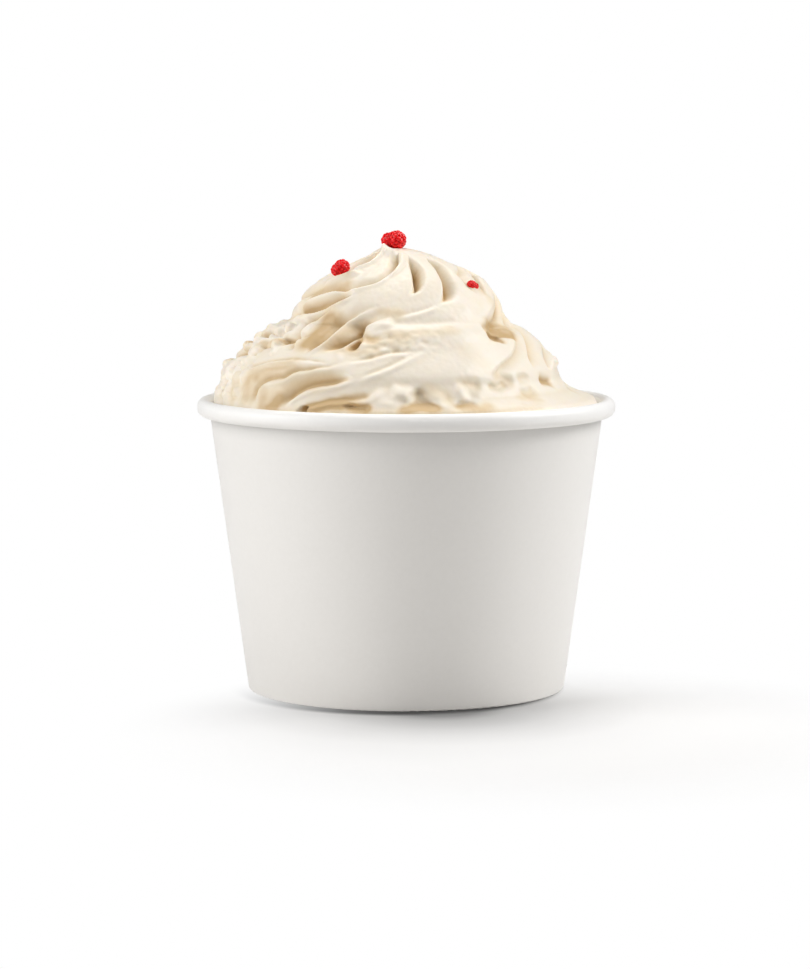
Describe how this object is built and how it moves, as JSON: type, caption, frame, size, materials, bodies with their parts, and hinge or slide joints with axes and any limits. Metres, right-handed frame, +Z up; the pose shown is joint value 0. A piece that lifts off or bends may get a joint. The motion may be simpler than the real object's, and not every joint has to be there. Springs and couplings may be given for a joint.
{
  "type": "paper ice cream cup",
  "caption": "Tapered white paper cup with a rolled rim and recessed base, filled with a fluted soft serve swirl topped with small red berry pieces.",
  "frame": {"origin": "centre of the foot's ring on the table plane", "axes": "+Z up along the cup's axis; +Y to the back, where the side seam is; -Y to the front seen in the picture"},
  "size_m": [0.096, 0.096, 0.1053],
  "materials": {
    "cup_board": "smooth coated white board",
    "soft_serve": "soft vanilla cream with a slight wet sheen",
    "berry": "wet red berry skin"
  },
  "bodies": {
    "root": {"cup_wall": "cup_board", "cup_base": "cup_board", "soft_serve": "soft_serve", "berry_top": "berry", "berry_left": "berry", "berry_right": "berry"}
  },
  "joints": []
}
